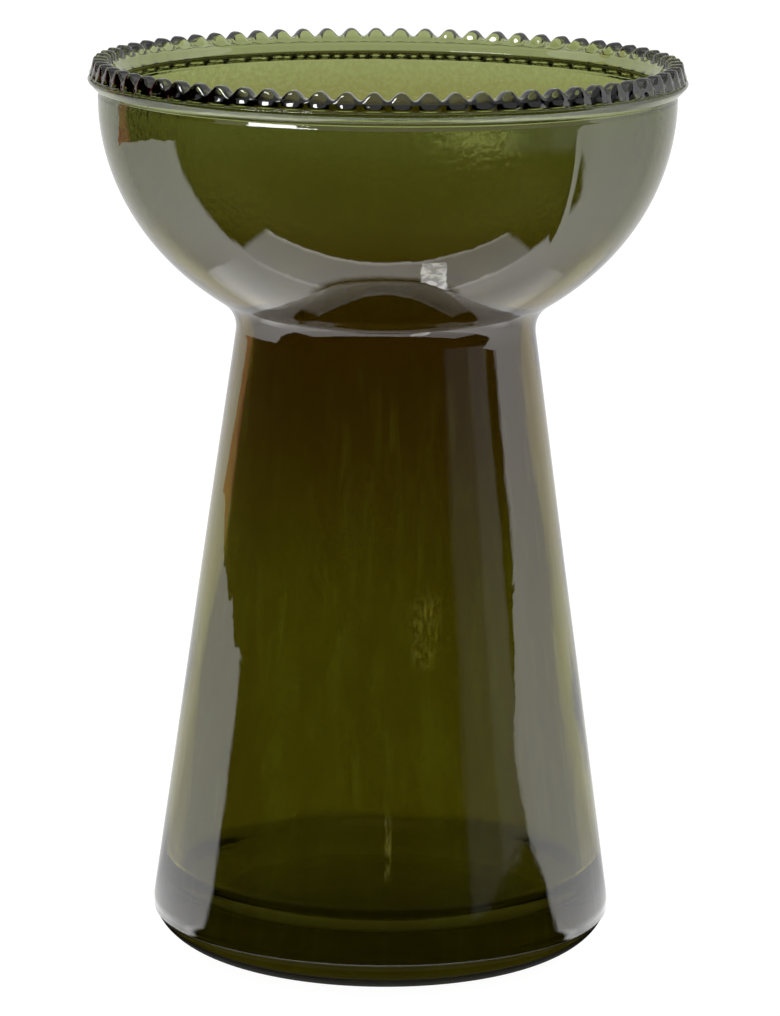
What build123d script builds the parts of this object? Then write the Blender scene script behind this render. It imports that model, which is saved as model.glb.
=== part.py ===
from build123d import *
import math
import os

os.makedirs("parts", exist_ok=True)

# Hyacinth forcing vase in thick olive glass.
# Millimetres, +Z up. The origin is the centre of the foot, on the surface that the vase stands on.
# The glass is one hot-formed wall. It is kept as the sections that a glassmaker names, which meet face
# to face: foot, water chamber, waist, bulb bowl, rim band and the row of beads along the rim.

# Overall height
overall_height = 180.0

# Foot: a thick floor with a shallow hollow below, a rounded heel outside and a rounded corner inside
foot_flat_radius = 30.6
punt_radius = 24.0
punt_depth = 1.6
heel_reach = 15.4
heel_rise = 9.6
floor_thickness = 11.5
floor_crown = 0.8
floor_flat_radius = 33.0
corner_reach = 8.0
corner_rise = 7.0

# Water chamber: a straight taper, given by its radius at one height just under the waist
taper_top_radius = 30.0
taper_top_height = 125.0
chamber_wall = 3.6

# Waist: the rounds that turn the taper into the bowl, outside and in the throat where the bulb sits
waist_outer_round = 6.4
waist_throat_round = 9.0

# Seams between the sections: how far they stay from the rounds beside them
seam_clearance = 3.0

# Bowl: the lower half of an ellipse, hung from its widest level
bowl_radius = 57.2
bowl_depth = 49.7
bowl_wall = 3.6

# Rim band: ribs over a groove and a moulding that slopes back to the bowl, and a flat on top that slopes
# in to the lip of the bowl
band_height = 5.7
band_overhang = 1.1
rib_height = 1.8
groove_width = 0.3
moulding_edge = 0.6
moulding_slope = 2.0
moulding_round = 0.5
lip_drop = 2.6
lip_round = 1.2

# Beads: short ridges along the radius, one over each rib, with straight flanks and a rounded crest,
# bevelled outside and sloped inside
bead_width = 4.2
bead_flank_angle = 45.0
bead_round = 1.0
bead_length = 4.2
bead_overhang = 2.0
bead_pitch = 5.3
bead_bevel = 1.0
bead_crest_width = 1.8
bead_slope = 1.2

# Levels and radii of the rim that follow from those sizes
bead_apex = bead_width / 2 * math.tan(math.radians(bead_flank_angle))
bead_height = bead_apex - bead_round * (1 / math.cos(math.radians(bead_flank_angle)) - 1)
bead_seat = overall_height - bead_height
bowl_top = bead_seat - band_height
band_radius = bowl_radius + band_overhang
bead_reach = bowl_radius + bead_overhang
bead_inner_edge = bead_reach - bead_length
bead_count = round(math.tau * bead_reach / bead_pitch)
moulding_top = bead_seat - rib_height - groove_width
moulding_shoulder = moulding_top - moulding_edge
moulding_foot = moulding_shoulder - moulding_slope


def ellipse_point(center, reach, rise, angle):
    """Point of an ellipse at an angle in degrees."""
    turn = math.radians(angle)
    return (center[0] + reach * math.cos(turn), center[1] + rise * math.sin(turn))


def ellipse_arc(center, reach, rise, start, end):
    """Add the arc of an ellipse between two angles in degrees, less than half a turn apart."""
    lead = math.cos(math.radians(end - start) / 2)
    Bezier(
        ellipse_point(center, reach, rise, start),
        ellipse_point(center, reach / lead, rise / lead, (start + end) / 2),
        ellipse_point(center, reach, rise, end),
        weights=(1, lead, 1),
    )


def touch_angle(center, reach, rise, point):
    """Angle on the right side of an ellipse where a line from a point above touches it."""
    across = (point[0] - center[0]) / reach
    up = (point[1] - center[1]) / rise
    return math.degrees(math.atan2(up, across) - math.acos(1 / math.hypot(across, up)))


def taper_meets_bowl(low, high, reach, rise):
    """Angle on the bowl's ellipse where the line through two points of the taper runs into it."""
    lean = (high[0] - low[0]) / (high[1] - low[1])
    at_bowl_top = low[0] + lean * (bowl_top - low[1])
    # The point (at_bowl_top + lean * rise * s, bowl_top + rise * s) of the line is on the ellipse
    # where across² + s² is 1, a quadratic in s. The lower of its two roots is the waist.
    square = 1 + (lean * rise / reach) ** 2
    half_linear = at_bowl_top * lean * rise / reach**2
    rest = (at_bowl_top / reach) ** 2 - 1
    depth_share = (-half_linear - math.sqrt(half_linear**2 - square * rest)) / square
    return math.degrees(math.asin(depth_share))


# Outside of the wall: the taper leaves the heel at a tangent and runs up into the bowl
bowl_center = (0, bowl_top)
heel_center = (foot_flat_radius, heel_rise)
taper_top = (taper_top_radius, taper_top_height)
heel_angle = touch_angle(heel_center, heel_reach, heel_rise, taper_top)
heel_top = ellipse_point(heel_center, heel_reach, heel_rise, heel_angle)
waist_angle = taper_meets_bowl(heel_top, taper_top, bowl_radius, bowl_depth)
waist_corner = ellipse_point(bowl_center, bowl_radius, bowl_depth, waist_angle)

# Inside of the wall: the same, one wall further in, from the corner of the floor
cup_radius = bowl_radius - bowl_wall
cup_depth = bowl_depth - bowl_wall
corner_center = (floor_flat_radius, floor_thickness + corner_rise)
bore_top = (taper_top_radius - chamber_wall, taper_top_height)
corner_angle = touch_angle(corner_center, corner_reach, corner_rise, bore_top)
corner_top = ellipse_point(corner_center, corner_reach, corner_rise, corner_angle)
throat_angle = taper_meets_bowl(corner_top, bore_top, cup_radius, cup_depth)
throat_corner = ellipse_point(bowl_center, cup_radius, cup_depth, throat_angle)

# Levels of the seams
foot_top = corner_top[1] + seam_clearance
chamber_top = waist_corner[1] - waist_outer_round - seam_clearance
waist_top = throat_corner[1] + waist_throat_round + seam_clearance

# Half section of the wall from the foot to the top of the bowl: radius across, height up
with BuildSketch() as wall:
    with BuildLine():
        TangentArc((0, punt_depth), (punt_radius, 0), tangent=(1, 0))
        Line((punt_radius, 0), (foot_flat_radius, 0))
        ellipse_arc(heel_center, heel_reach, heel_rise, -90, heel_angle)
        Line(heel_top, waist_corner)
        ellipse_arc(bowl_center, bowl_radius, bowl_depth, waist_angle, 0)
        Line((bowl_radius, bowl_top), (cup_radius, bowl_top))
        ellipse_arc(bowl_center, cup_radius, cup_depth, throat_angle, 0)
        Line(throat_corner, corner_top)
        ellipse_arc(corner_center, corner_reach, corner_rise, -90, corner_angle)
        TangentArc((0, floor_thickness + floor_crown), (floor_flat_radius, floor_thickness), tangent=(1, 0))
        Line((0, floor_thickness + floor_crown), (0, punt_depth))
    make_face()
    fillet(wall.vertices().sort_by_distance(waist_corner)[0], waist_outer_round)
    fillet(wall.vertices().sort_by_distance(throat_corner)[0], waist_throat_round)


def wall_between(bottom, top):
    """Add the stretch of the wall's half section between two heights to the sketch being drawn."""
    add(wall.sketch)
    with Locations((0, bottom)):
        Rectangle(bead_reach, top - bottom, align=(Align.MIN, Align.MIN), mode=Mode.INTERSECT)


# Foot, from the ring that it stands on to just above the inside corner
with BuildPart() as foot:
    with BuildSketch(Plane.XZ):
        wall_between(0, foot_top)
    revolve(axis=Axis.Z)
foot.part.label = "foot"
export_step(foot.part, "parts/foot.step")

# Water chamber, the long taper that the roots hang in
with BuildPart() as water_chamber:
    with BuildSketch(Plane.XZ):
        wall_between(foot_top, chamber_top)
    revolve(axis=Axis.Z)
water_chamber.part.label = "water_chamber"
export_step(water_chamber.part, "parts/water_chamber.step")

# Waist, the throat whose inner round carries the bulb
with BuildPart() as waist:
    with BuildSketch(Plane.XZ):
        wall_between(chamber_top, waist_top)
    revolve(axis=Axis.Z)
waist.part.label = "waist"
export_step(waist.part, "parts/waist.step")

# Bulb bowl, up to its widest level
with BuildPart() as bulb_bowl:
    with BuildSketch(Plane.XZ):
        wall_between(waist_top, bowl_top)
    revolve(axis=Axis.Z)
bulb_bowl.part.label = "bulb_bowl"
export_step(bulb_bowl.part, "parts/bulb_bowl.step")

# Plan of one bead and of the rib below it, lying along +X
with BuildSketch() as bead_plan:
    with BuildLine():
        Polyline(
            (bead_inner_edge, 0),
            (bead_inner_edge, bead_width / 2),
            (bead_reach - bead_bevel, bead_width / 2),
            (bead_reach, bead_crest_width / 2),
            (bead_reach, 0),
        )
        mirror(about=Plane.XZ)
    make_face()

# Rim band: the ribs stand on its outer face, over a groove that the moulding closes below
lip_corner = (cup_radius, bead_seat - lip_drop)
moulding_corner = (bead_reach, moulding_shoulder)
with BuildPart() as rim_band:
    with BuildSketch(Plane.XZ) as band_section:
        with BuildLine():
            Polyline(
                (cup_radius, bowl_top),
                (bowl_radius, bowl_top),
                (bowl_radius, moulding_foot),
                moulding_corner,
                (bead_reach, moulding_top),
                (band_radius, moulding_top),
                (band_radius, bead_seat),
                (bead_inner_edge, bead_seat),
                lip_corner,
                close=True,
            )
        make_face()
        fillet(band_section.vertices().sort_by_distance(lip_corner)[0], lip_round)
        fillet(band_section.vertices().sort_by_distance(moulding_corner)[0], moulding_round)
    revolve(axis=Axis.Z)
    with BuildSketch(Plane.XY.offset(bead_seat)):
        with PolarLocations(0, bead_count):
            add(bead_plan.sketch)
    extrude(amount=-rib_height)
rim_band.part.label = "rim_band"
export_step(rim_band.part, "parts/rim_band.step")

# One bead: its plan drawn up, then cut to its slope seen from the side and to its gable seen end on
with BuildPart() as bead:
    with BuildSketch(Plane.XY.offset(bead_seat)):
        add(bead_plan.sketch)
    extrude(amount=bead_apex)
    with BuildSketch(Plane.XZ):
        with BuildLine():
            Polyline(
                (bead_inner_edge, bead_seat),
                (bead_inner_edge + bead_slope, overall_height),
                (bead_reach, overall_height),
                (bead_reach, bead_seat),
                close=True,
            )
        make_face()
    extrude(amount=bead_width, both=True, mode=Mode.INTERSECT)
    with BuildSketch(Plane.YZ) as gable:
        with BuildLine():
            Polyline(
                (-bead_width / 2, bead_seat),
                (bead_width / 2, bead_seat),
                (0, bead_seat + bead_apex),
                close=True,
            )
        make_face()
        fillet(gable.vertices().sort_by(Axis.Y)[-1], bead_round)
    extrude(amount=bead_reach, mode=Mode.INTERSECT)

# The row of beads, one solid each, seated on the band's flat
with BuildPart() as rim_beads:
    with PolarLocations(0, bead_count):
        add(bead.part)
rim_beads.part.label = "rim_beads"
export_step(rim_beads.part, "parts/rim_beads.step")
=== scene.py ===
import logging
import math
from dataclasses import dataclass, field
from enum import Enum
from functools import reduce

import bpy
import numpy as np
from mathutils import Matrix


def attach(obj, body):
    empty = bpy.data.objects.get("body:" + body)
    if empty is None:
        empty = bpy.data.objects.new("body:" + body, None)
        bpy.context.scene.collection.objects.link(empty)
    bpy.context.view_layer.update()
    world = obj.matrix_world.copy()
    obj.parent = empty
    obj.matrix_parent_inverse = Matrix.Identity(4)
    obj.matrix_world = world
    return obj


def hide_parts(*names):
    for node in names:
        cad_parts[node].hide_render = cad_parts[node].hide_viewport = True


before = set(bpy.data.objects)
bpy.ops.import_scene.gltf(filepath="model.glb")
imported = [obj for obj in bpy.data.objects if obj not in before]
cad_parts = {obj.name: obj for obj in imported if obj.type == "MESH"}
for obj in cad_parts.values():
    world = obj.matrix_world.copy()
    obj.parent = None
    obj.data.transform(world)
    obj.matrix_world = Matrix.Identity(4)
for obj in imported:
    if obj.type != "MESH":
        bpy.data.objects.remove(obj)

# Hyacinth forcing vase in thick olive glass.
# Sizes are in millimetres, as in the part's source, and become metres where a mesh or a lamp is made.
# The wall is drawn as one closed skin, because real glass has no faces inside it where its sections meet.

LOG = logging.getLogger("hyacinth_vase")
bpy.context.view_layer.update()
MM = 0.001

# Photograph: its frame in pixels, and the focal length and optical centre measured in it
PHOTO_WIDTH_PX = 780
PHOTO_HEIGHT_PX = 1016
FOCAL_PX = 5085.2
OPTICAL_CENTRE_PX = 384.0

Path = np.ndarray
Colour = tuple[float, float, float, float]
Band = tuple[float, float]
Socket = bpy.types.NodeSocket


class Node(Enum):
    """Sections of the wall, as they are named in the part."""

    FOOT = "foot"
    CHAMBER = "water_chamber"
    WAIST = "waist"
    BOWL = "bulb_bowl"
    BAND = "rim_band"
    BEADS = "rim_beads"


class Side(Enum):
    """Side of the wall that a stretch of the skin lies on."""

    OUTSIDE = 0.0
    INSIDE = 1.0


def points(*pairs: tuple[float, float]) -> Path:
    """Path through the given pairs of radius and height."""
    return np.array(pairs, float)


def straight(start: Path, end: Path, steps: int) -> Path:
    """Evenly spaced points from start to end, both of them kept."""
    share = np.linspace(0, 1, steps + 1)[:, None]
    return start + (end - start) * share


def bend(start: Path, corner: Path, end: Path, steps: int) -> Path:
    """Parabola from start to end that leaves towards the corner and arrives from it.

    Args:
        start: First point.
        corner: Where the two end tangents cross.
        end: Last point.
        steps: Number of steps along the curve.

    Returns:
        Points start·(1−t)² + corner·2t(1−t) + end·t² for t from 0 to 1.
    """
    t = np.linspace(0, 1, steps + 1)[:, None]
    return start * (1 - t) ** 2 + corner * 2 * t * (1 - t) + end * t**2


def rounded(corners: Path, steps: int) -> Path:
    """Round every inner corner of a polygon with a parabola between the middles of its sides.

    Args:
        corners: Corners along the first axis; further axes hold several polygons, rounded alike.
        steps: Steps along each parabola.

    Returns:
        The rounded path, from the first corner to the last, with steps points for each inner corner.
    """
    middles = (corners[1:] + corners[:-1]) / 2
    middles[0], middles[-1] = corners[0], corners[-1]
    t = np.arange(steps).reshape((1, steps) + (1,) * (corners.ndim - 1)) / steps
    start, corner, end = middles[:-1, None], corners[1:-1, None], middles[1:, None]
    curve = start * (1 - t) ** 2 + corner * 2 * t * (1 - t) + end * t**2
    return np.concatenate([curve.reshape((-1,) + corners.shape[1:]), corners[-1:]])


def joined(*stretches: Path) -> Path:
    """Stretches end to end, without the doubled points where they meet."""
    first, *rest = stretches
    return np.concatenate([first] + [s[1:] for s in rest])


def round_angles(count: int) -> np.ndarray:
    """Evenly spaced angles in radians, once round."""
    return np.arange(count) * math.tau / count


@dataclass(frozen=True)
class Ellipse:
    """Ellipse in the section's plane.

    Attributes:
        across: Radius at which its centre lies.
        level: Height at which its centre lies.
        reach: Half width.
        rise: Half height.
    """

    across: float
    level: float
    reach: float
    rise: float

    def at(self, angle: float | np.ndarray) -> Path:
        """Points at the given angles in radians, counted up from the right."""
        x, y = self.reach * np.cos(angle), self.rise * np.sin(angle)
        return np.stack([self.across + x, self.level + y], -1)

    def heading(self, angle: float) -> Path:
        """Direction of travel along the ellipse at an angle, as long as one radian of it."""
        return np.array([-self.reach * math.sin(angle), self.rise * math.cos(angle)])

    def touch(self, point: Path) -> float:
        """Angle on the right side where a line from a point above touches the ellipse."""
        across, up = (point[0] - self.across) / self.reach, (point[1] - self.level) / self.rise
        return math.atan2(up, across) - math.acos(1 / math.hypot(across, up))

    def meets(self, low: Path, high: Path) -> float:
        """Angle where a line rising through two points first runs into the ellipse.

        Args:
            low: Lower point of the line.
            high: Upper point of the line.

        Returns:
            The angle in radians, from the lower root of the quadratic that puts the line's points
            on the ellipse.
        """
        lean = (high[0] - low[0]) / (high[1] - low[1])
        at_level = low[0] + lean * (self.level - low[1]) - self.across
        square = 1 + (lean * self.rise / self.reach) ** 2
        half = at_level * lean * self.rise / self.reach**2
        rest = (at_level / self.reach) ** 2 - 1
        return math.asin((-half - math.sqrt(half**2 - square * rest)) / square)


@dataclass(frozen=True)
class WallSide:
    """One side of the wall from its lowest round to the top of the bowl.

    Attributes:
        low: Ellipse of the heel outside or of the floor's corner inside.
        taper_top: Point that the chamber's straight taper runs through.
        bowl: Ellipse of the bowl.
        waist_round: Radius of the round between taper and bowl.
    """

    low: Ellipse
    taper_top: Path
    bowl: Ellipse
    waist_round: float

    def low_end(self) -> Path:
        """Point where the low round runs over into the taper."""
        return self.low.at(self.low.touch(self.taper_top))

    def low_arc(self, steps: int) -> Path:
        """Low round from its lowest point to the taper."""
        return self.low.at(np.linspace(-math.pi / 2, self.low.touch(self.taper_top), steps + 1))

    def waist(self) -> tuple[Path, Path, Path, float]:
        """Where the waist's round starts, turns and ends.

        Returns:
            The last point of the taper, the crossing of the two tangents, the first point of the bowl,
            and the angle of that point on the bowl. Each end lies a round's run off the sharp corner.
        """
        angle = self.bowl.meets(self.low_end(), self.taper_top)
        corner = self.bowl.at(angle)
        along = (corner - self.low_end()) / np.linalg.norm(corner - self.low_end())
        heading = self.bowl.heading(angle)
        speed = np.linalg.norm(heading)
        turn = math.acos(float(along @ heading) / speed)
        run = self.waist_round * math.tan(turn / 2)
        end_angle = angle + run / speed
        end, leave = self.bowl.at(end_angle), self.bowl.heading(end_angle)
        start = corner - along * run
        sides = np.stack([along, leave], -1)
        reach = np.linalg.solve(sides, end - start)[0]
        return start, start + along * reach, end, end_angle

    def taper(self, steps: int) -> Path:
        """Straight taper between the low round and the waist's round."""
        return straight(self.low_end(), self.waist()[0], steps)

    def waist_bend(self, steps: int) -> Path:
        """Round of the waist."""
        start, corner, end, _ = self.waist()
        return bend(start, corner, end, steps)

    def bowl_arc(self, steps: int) -> Path:
        """Bowl from the waist's round to its widest level."""
        return self.bowl.at(np.linspace(self.waist()[3], 0, steps + 1))


@dataclass(frozen=True)
class BulbBowl:
    """Round bowl that holds the bulb, up to its widest level."""

    radius: float = 57.2
    depth: float = 49.7
    wall: float = 3.6
    top: float = 172.61
    steps: int = 22

    def ellipse(self, side: Side) -> Ellipse:
        """Ellipse of one side of the bowl."""
        inset = self.wall * side.value
        return Ellipse(0.0, self.top, self.radius - inset, self.depth - inset)

    def stretch(self, side: Side, wall: WallSide) -> Path:
        """Bowl's stretch of one side of the wall, bottom to top."""
        return wall.bowl_arc(self.steps)


@dataclass(frozen=True)
class Waist:
    """Neck between chamber and bowl, whose inner round carries the bulb."""

    outer_round: float = 6.4
    throat_round: float = 9.0
    steps: int = 10

    def radius(self, side: Side) -> float:
        """Radius of the round on one side of the wall."""
        return self.throat_round if side is Side.INSIDE else self.outer_round

    def stretch(self, side: Side, wall: WallSide) -> Path:
        """Waist's stretch of one side of the wall, bottom to top."""
        return wall.waist_bend(self.steps)


@dataclass(frozen=True)
class WaterChamber:
    """Straight taper that the roots hang in."""

    top_radius: float = 30.0
    top_level: float = 125.0
    wall: float = 3.6
    steps: int = 16

    def taper_top(self, side: Side) -> Path:
        """Point just under the waist that fixes the taper of one side."""
        return np.array([self.top_radius - self.wall * side.value, self.top_level])

    def stretch(self, side: Side, wall: WallSide) -> Path:
        """Chamber's stretch of one side of the wall, bottom to top."""
        return wall.taper(self.steps)


@dataclass(frozen=True)
class Foot:
    """Thick floor with a shallow hollow below, a rounded heel and a rounded inside corner.

    Attributes:
        seam_level: Height of the fine ridge that the base of the mould leaves round the heel.
        seam_height: How far it stands out.
        seam_width: Height over which it falls away to about a third.
    """

    flat_radius: float = 30.6
    punt_radius: float = 24.0
    punt_depth: float = 1.6
    heel_reach: float = 15.4
    heel_rise: float = 9.6
    floor_thickness: float = 11.5
    floor_crown: float = 0.8
    floor_flat_radius: float = 33.0
    corner_reach: float = 8.0
    corner_rise: float = 7.0
    seam_level: float = 7.8
    seam_height: float = 0.22
    seam_width: float = 0.45
    steps: int = 14

    def low(self, side: Side) -> Ellipse:
        """Ellipse of the heel or of the inside corner.

        Args:
            side: Side of the wall; the heel is the outside.

        Returns:
            The ellipse in the section's plane.
        """
        if side is Side.OUTSIDE:
            return Ellipse(self.flat_radius, self.heel_rise, self.heel_reach, self.heel_rise)
        level = self.floor_thickness + self.corner_rise
        return Ellipse(self.floor_flat_radius, level, self.corner_reach, self.corner_rise)

    def stretch(self, side: Side, wall: WallSide) -> Path:
        """Foot's stretch of one side of the wall, from the axis out and up.

        Args:
            side: Side of the wall.
            wall: The shape of that side.

        Returns:
            Outside the hollow, the flat ring and the heel with its ridge, which is a bell curve of the
            height; inside the floor and its corner.
        """
        if side is Side.OUTSIDE:
            punt = bend(
                np.array([0, self.punt_depth]), np.array([self.punt_radius / 2, self.punt_depth]),
                np.array([self.punt_radius, 0]), self.steps // 2,
            )
            ring = straight(punt[-1], np.array([self.flat_radius, 0]), 2)
            heel = wall.low_arc(self.steps * 3)
            off = (heel[:, 1] - self.seam_level) / self.seam_width
            heel[:, 0] += self.seam_height * np.exp(-(off**2))
            return joined(punt, ring, heel)
        crown = self.floor_thickness + self.floor_crown
        floor = bend(
            np.array([0, crown]), np.array([self.floor_flat_radius / 2, crown]),
            np.array([self.floor_flat_radius, self.floor_thickness]), self.steps // 2,
        )
        return joined(floor, wall.low_arc(self.steps))


@dataclass(frozen=True)
class RimBand:
    """Band round the mouth: a moulding outside that slopes back to the bowl, and a slope in to a lip.

    Attributes:
        ledge: How far the lip's edge stands in over the bowl's inside.
        hollow: How deep the bowl draws in just under the moulding.
        hollow_start: Height above the bowl's widest level at which it starts to.
        hollow_rise: Height over which it does.
    """

    edge_radius: float = 59.2
    top_level: float = 176.21
    shoulder_level: float = 175.61
    foot_level: float = 173.61
    face_radius: float = 58.3
    lip_level: float = 175.71
    lip_round: float = 1.2
    ledge: float = 0.25
    hollow: float = 0.34
    hollow_start: float = 0.1
    hollow_rise: float = 0.84
    steps: int = 4

    def moulding(self, bowl: BulbBowl) -> Path:
        """Moulding from the bowl's widest level up to the groove below the ribs.

        Args:
            bowl: The bowl that it stands on.

        Returns:
            The hollow at its foot, its slope, its upright edge and its top, with every corner rounded.
        """
        start = np.array([bowl.radius, bowl.top])
        hollow = straight(
            start + (0, self.hollow_start), start + (-self.hollow, self.hollow_start + self.hollow_rise), 3
        )
        edge = points(
            (bowl.radius + 0.4, self.foot_level + 0.35), (self.edge_radius - 0.2, self.shoulder_level - 0.2),
            (self.edge_radius, self.shoulder_level + 0.15), (self.edge_radius, self.top_level - 0.15),
            (self.edge_radius - 0.15, self.top_level), (self.face_radius + 0.1, self.top_level),
        )
        return rounded(np.concatenate([start[None], hollow, edge]), self.steps)

    def lip(self, bowl: BulbBowl, slope_start: Path) -> Path:
        """Lip from the slope at the foot of the beads down to the bowl's inside.

        Args:
            bowl: The bowl that it runs over into.
            slope_start: Last point of the rim above it.

        Returns:
            The slope, rounded over the lip's ledge, and the inside of the band.
        """
        cup = np.array([bowl.radius - bowl.wall, bowl.top])
        edge = np.array([cup[0] - self.ledge, self.lip_level])
        under = np.array([cup[0], self.lip_level - self.lip_round / 2])
        inward = (edge - slope_start) / np.linalg.norm(edge - slope_start)
        middle = (edge + under) / 2
        turned = bend(edge - inward * self.lip_round / 3, edge, middle, self.steps)
        settled = bend(middle, under, under + (cup - under) / 4, self.steps)
        return joined(straight(slope_start, turned[0], 3), turned, settled, straight(settled[-1], cup, 3))


@dataclass(frozen=True)
class RimBeads:
    """Row of beads on the rim, each over a rib, pressed into the same skin.

    The skin runs through two sections: one over the crest of a bead and one through the valley beside
    it. Between them it goes as 1 − |sin(π·turn)|ᵏ, where turn counts the beads and k is the power, one on
    the ribs and another on the beads. A higher power makes them broader.

    Attributes:
        count: Number of beads.
        columns: Columns of the skin for each bead.
        reach: Radius that the ribs stand out to.
        face: Radius of the band between them.
        seat: Level that the beads stand on.
        crest: Level of their tops.
        groove_level: Level of the groove below the ribs.
        inner_edge: Radius at which the slope in to the lip starts.
        rib_power: Power of the ribs.
        bead_power: Power of the beads.
        steps: Steps round each corner of a section.
    """

    count: int = 70
    columns: int = 16
    reach: float = 58.95
    face: float = 58.3
    seat: float = 178.31
    crest: float = 180.0
    groove_level: float = 176.36
    inner_edge: float = 54.9
    rib_power: float = 2.6
    bead_power: float = 2.7
    steps: int = 3

    def sections(self) -> tuple[Path, Path]:
        """Crest and valley sections, from the groove below the ribs over the top to the lip's slope.

        Returns:
            Both paths, with rounded corners and the same number of points.
        """
        groove = (self.face, self.groove_level)
        slope, end = (self.inner_edge, self.seat - 0.15), (self.inner_edge - 0.45, self.seat - 1.0)
        flat = self.inner_edge + 2.5
        crest = points(
            groove, (self.reach - 0.1, self.groove_level + 0.15), (self.reach, self.groove_level + 0.5),
            (self.reach - 0.2, self.groove_level + 1.0), (self.reach - 0.4, self.groove_level + 1.5),
            (self.reach - 0.55, self.seat + 0.4), (self.reach - 0.9, self.crest), (flat, self.crest),
            (flat - 1.2, self.crest), (self.inner_edge + 0.3, self.crest - 0.4), slope, end,
        )
        valley = points(
            groove, (self.face, self.groove_level + 0.2), (self.face, self.groove_level + 0.6),
            (self.face, self.seat - 0.9), (self.face, self.seat - 0.6), (self.face - 0.1, self.seat - 0.3),
            (self.face - 0.4, self.seat), (flat, self.seat + 0.05), (flat - 0.8, self.seat + 0.05),
            (self.inner_edge + 0.7, self.seat), slope, end,
        )
        return rounded(crest, self.steps), rounded(valley, self.steps)

    def rows(self, azimuth: np.ndarray) -> np.ndarray:
        """Rows of the skin over the beads.

        Args:
            azimuth: Angles of the fine columns.

        Returns:
            Radius and height of every row at every column, as an array of rows by columns by two.
        """
        crest, valley = self.sections()
        across = np.abs(np.sin(azimuth * self.count / 2))[None, :, None]
        share = np.linspace(0, 1, len(crest))[:, None, None]
        power = self.rib_power + (self.bead_power - self.rib_power) * np.clip(share * 2.4, 0, 1)
        return valley[:, None] + (crest - valley)[:, None] * (1 - across**power)


@dataclass(frozen=True)
class MouldSeam:
    """Fine raised line that the halves of the mould leave on the outside of the bowl.

    Attributes:
        azimuth: Bearing of one of the two lines, in radians.
        height: How far it stands out.
        low: Height at which it starts to show.
        fade: Height over which it comes up.
        top: Height at which it ends.
    """

    azimuth: float = math.radians(38.5 - 90)
    height: float = 0.12
    low: float = 147.0
    fade: float = 7.0
    top: float = 172.3

    def draw(self, rows: np.ndarray, azimuth: np.ndarray) -> tuple[np.ndarray, np.ndarray]:
        """Raise the line on a grid of rows, with three columns drawn together on each side of it.

        Args:
            rows: Radius and height at every row and column.
            azimuth: Angles of the columns.

        Returns:
            The rows with the nearest column raised, and the angle of every row and column. A column's
            distance from the line goes with the square of its number, up to the third.
        """
        number = self.columns(azimuth)[None]
        level = rows[..., 1]
        fade = np.clip((level - self.low) / self.fade, 0, 1) * np.clip((self.top - level) / 0.5, 0, 1)
        raised = rows.copy()
        raised[..., 0] += self.height * fade * (number == 0)
        near = np.clip(np.abs(number), 0, 3)
        drawn = (near * near / 3 - near) * np.sign(number) * math.tau / len(azimuth)
        return raised, azimuth[None] + drawn * (fade > 0)

    def columns(self, azimuth: np.ndarray) -> np.ndarray:
        """Signed number of columns from the nearest of the two opposite seams.

        Args:
            azimuth: Angles of the columns.

        Returns:
            The whole numbers, from minus a quarter of the columns to a quarter.
        """
        half = len(azimuth) // 2
        number = np.round((azimuth - self.azimuth) * len(azimuth) / math.tau)
        return (number + half // 2) % half - half // 2


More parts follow.
